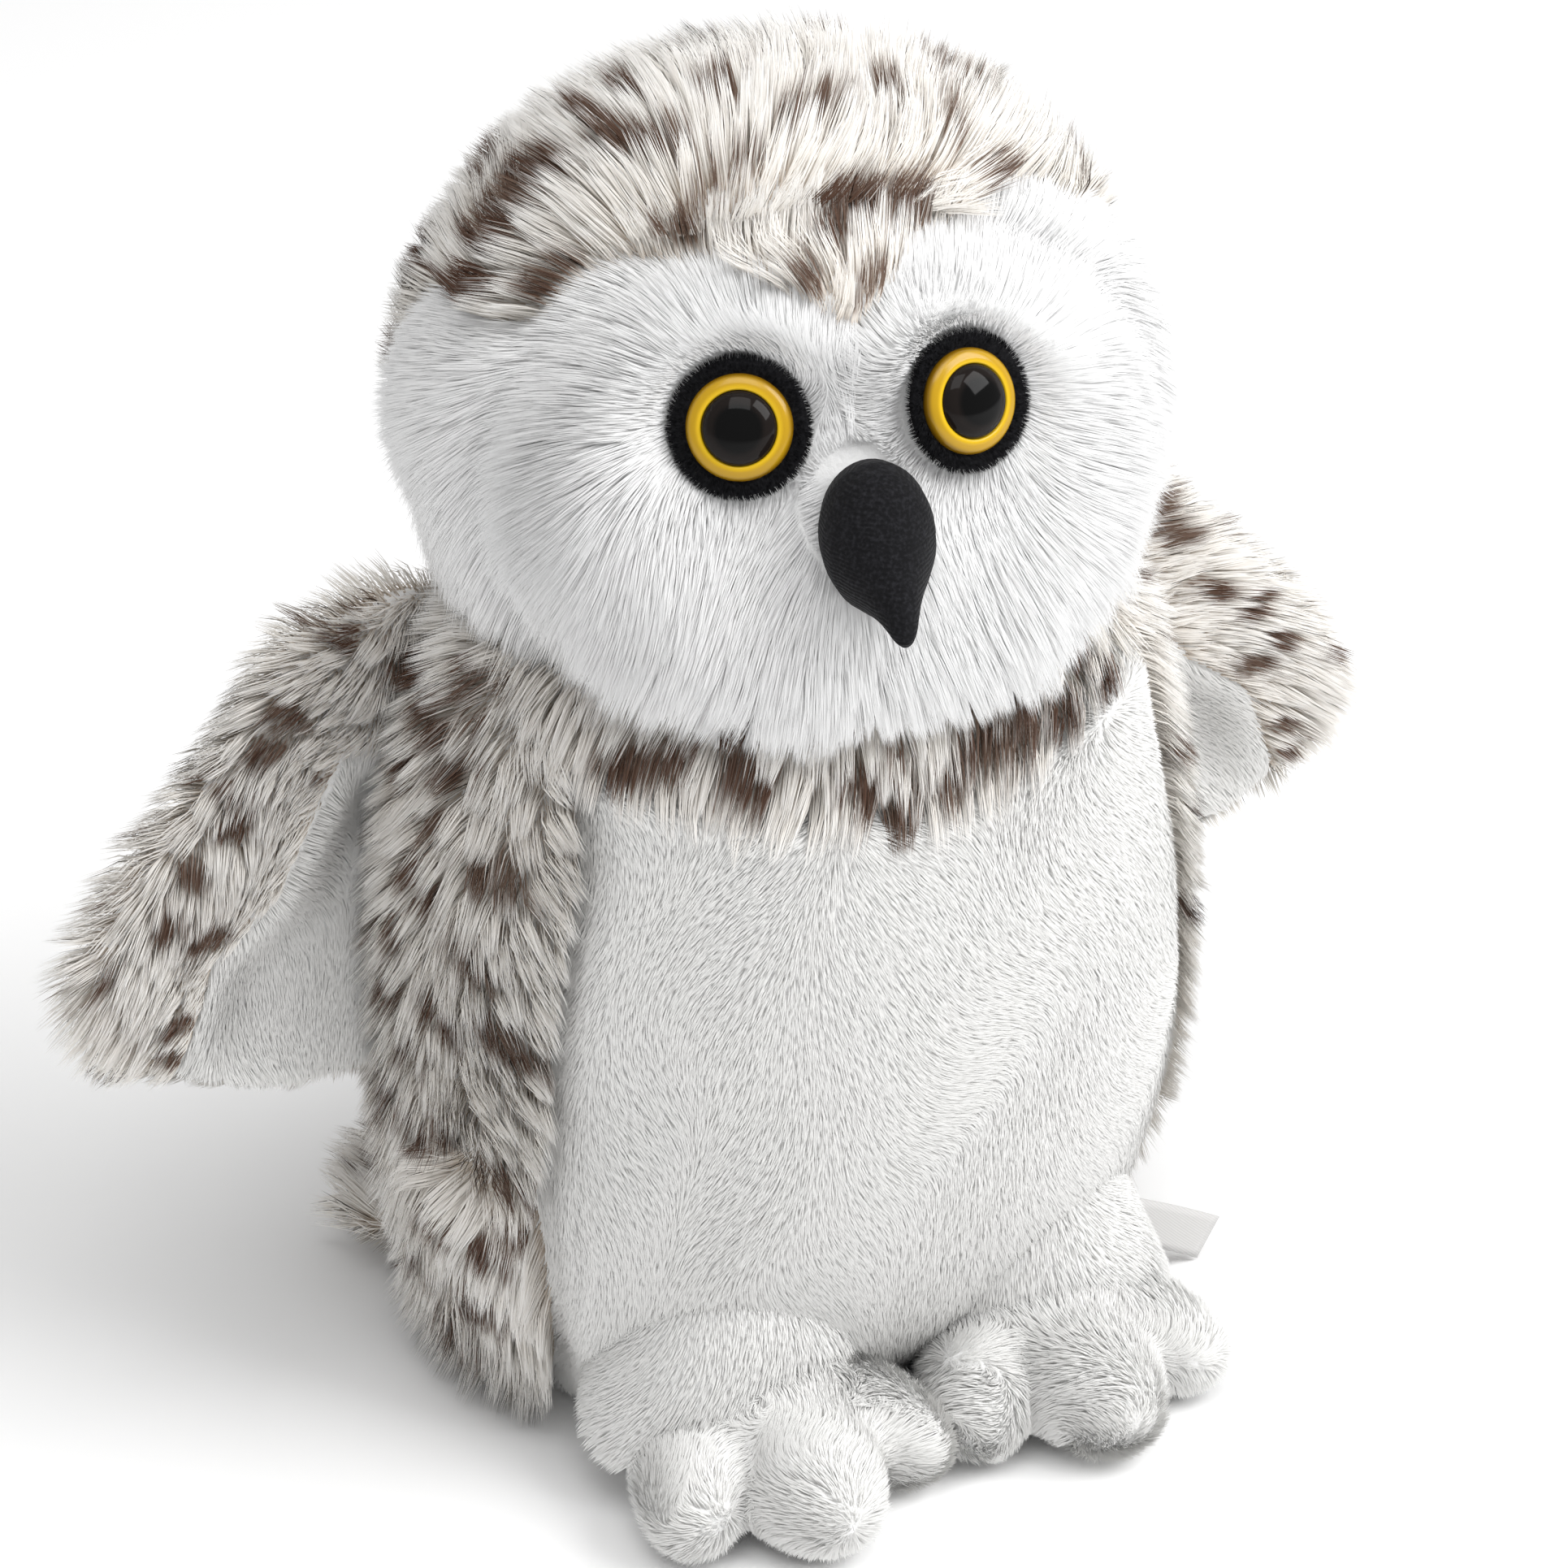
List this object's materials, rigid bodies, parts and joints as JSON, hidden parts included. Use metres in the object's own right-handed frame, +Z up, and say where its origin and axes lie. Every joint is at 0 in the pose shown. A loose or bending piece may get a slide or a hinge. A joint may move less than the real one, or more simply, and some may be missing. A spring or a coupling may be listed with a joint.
{
  "type": "plush snowy owl",
  "caption": "Stuffed snowy owl that sits on a flat base, with a turning round head, set-in amber eyes, a hooked felt beak, padded wings held out, a flat tail and three-toed feet.",
  "frame": {"origin": "middle of the bounding box on the floor, under the flat base", "axes": "-Y is where the owl faces, +X is the owl's own left, +Z is up"},
  "size_m": [0.2792, 0.1802, 0.2645],
  "materials": {
    "spotted_fur": "long cream fur fabric with dark brown tipped spots",
    "long_white_fur": "long white fur fabric",
    "short_white_plush": "short white plush",
    "black_felt": "black felt",
    "amber_plastic": "glossy clear amber",
    "dark_plastic": "glossy dark brown, nearly black",
    "washer_plastic": "natural white plastic",
    "stuffing_fibre": "loose polyester fibre",
    "pellet_cloth": "woven cotton bag",
    "satin_tape": "white satin tape, bare"
  },
  "bodies": {
    "body": {"belly_panel": "short_white_plush", "neck_ruff": "spotted_fur", "back_panel_right": "spotted_fur", "back_panel_left": "spotted_fur", "base_panel": "short_white_plush", "body_stuffing": "stuffing_fibre", "pellet_bag": "pellet_cloth", "neck_stuffing": "stuffing_fibre", "leg_cuff_right": "short_white_plush", "leg_cuff_left": "short_white_plush", "leg_stuffing_right": "stuffing_fibre", "leg_stuffing_left": "stuffing_fibre"},
    "head": {"crown_panel": "spotted_fur", "face_disc_right": "long_white_fur", "face_disc_left": "long_white_fur", "cheek_panel_right": "long_white_fur", "cheek_panel_left": "long_white_fur", "eye_patch_right": "black_felt", "eye_patch_left": "black_felt", "eye_iris_right": "amber_plastic", "eye_iris_left": "amber_plastic", "eye_pupil_right": "dark_plastic", "eye_pupil_left": "dark_plastic", "eye_washer_right": "washer_plastic", "eye_washer_left": "washer_plastic", "head_stuffing": "stuffing_fibre", "beak_felt": "black_felt", "beak_stuffing": "stuffing_fibre"},
    "wing_right": {"wing_outer_right": "spotted_fur", "wing_lining_right": "short_white_plush", "wing_filling_right": "stuffing_fibre"},
    "wing_left": {"wing_outer_left": "spotted_fur", "wing_lining_left": "short_white_plush", "wing_filling_left": "stuffing_fibre"},
    "tail": {"tail_top": "spotted_fur", "tail_underside": "spotted_fur", "tail_filling": "stuffing_fibre"},
    "foot_right": {"foot_upper_right": "short_white_plush", "foot_sole_right": "short_white_plush", "foot_stuffing_right": "stuffing_fibre"},
    "foot_left": {"foot_upper_left": "short_white_plush", "foot_sole_left": "short_white_plush", "foot_stuffing_left": "stuffing_fibre"},
    "label": {"care_label": "satin_tape"}
  },
  "joints": [
    {"name": "neck_turn", "type": "hinge", "parent": "body", "child": "head", "pos_m": [0, -0.00263, 0.202], "axis": [0, 0, 1], "range_deg": [-7, 33], "stiffness_Nm_per_rad": 0.05},
    {"name": "wing_fold_right", "type": "hinge", "parent": "body", "child": "wing_right", "pos_m": [-0.078, 0.01638, 0.118], "axis": [0.1175, 0.1664, 0.979], "range_deg": [-25, 30], "stiffness_Nm_per_rad": 0.05},
    {"name": "wing_fold_left", "type": "hinge", "parent": "body", "child": "wing_left", "pos_m": [0.078, 0.01638, 0.118], "axis": [0.1175, -0.1664, -0.979], "range_deg": [-25, 30], "stiffness_Nm_per_rad": 0.05},
    {"name": "tail_lift", "type": "hinge", "parent": "body", "child": "tail", "pos_m": [0, 0.04238, 0.011], "axis": [1, 0, 0], "range_deg": [-3, 20], "stiffness_Nm_per_rad": 0.15},
    {"name": "foot_lift_right", "type": "hinge", "parent": "body", "child": "foot_right", "pos_m": [-0.031, -0.04163, 0.011], "axis": [-1, 0, 0], "range_deg": [0, 20], "stiffness_Nm_per_rad": 0.1},
    {"name": "foot_lift_left", "type": "hinge", "parent": "body", "child": "foot_left", "pos_m": [0.031, -0.04163, 0.011], "axis": [-1, 0, 0], "range_deg": [0, 20], "stiffness_Nm_per_rad": 0.1},
    {"name": "label_flap", "type": "hinge", "parent": "body", "child": "label", "pos_m": [0.0625, -0.03463, 0.0166], "axis": [0, 0, 1], "range_deg": [-25, 40], "stiffness_Nm_per_rad": 0.0005}
  ]
}
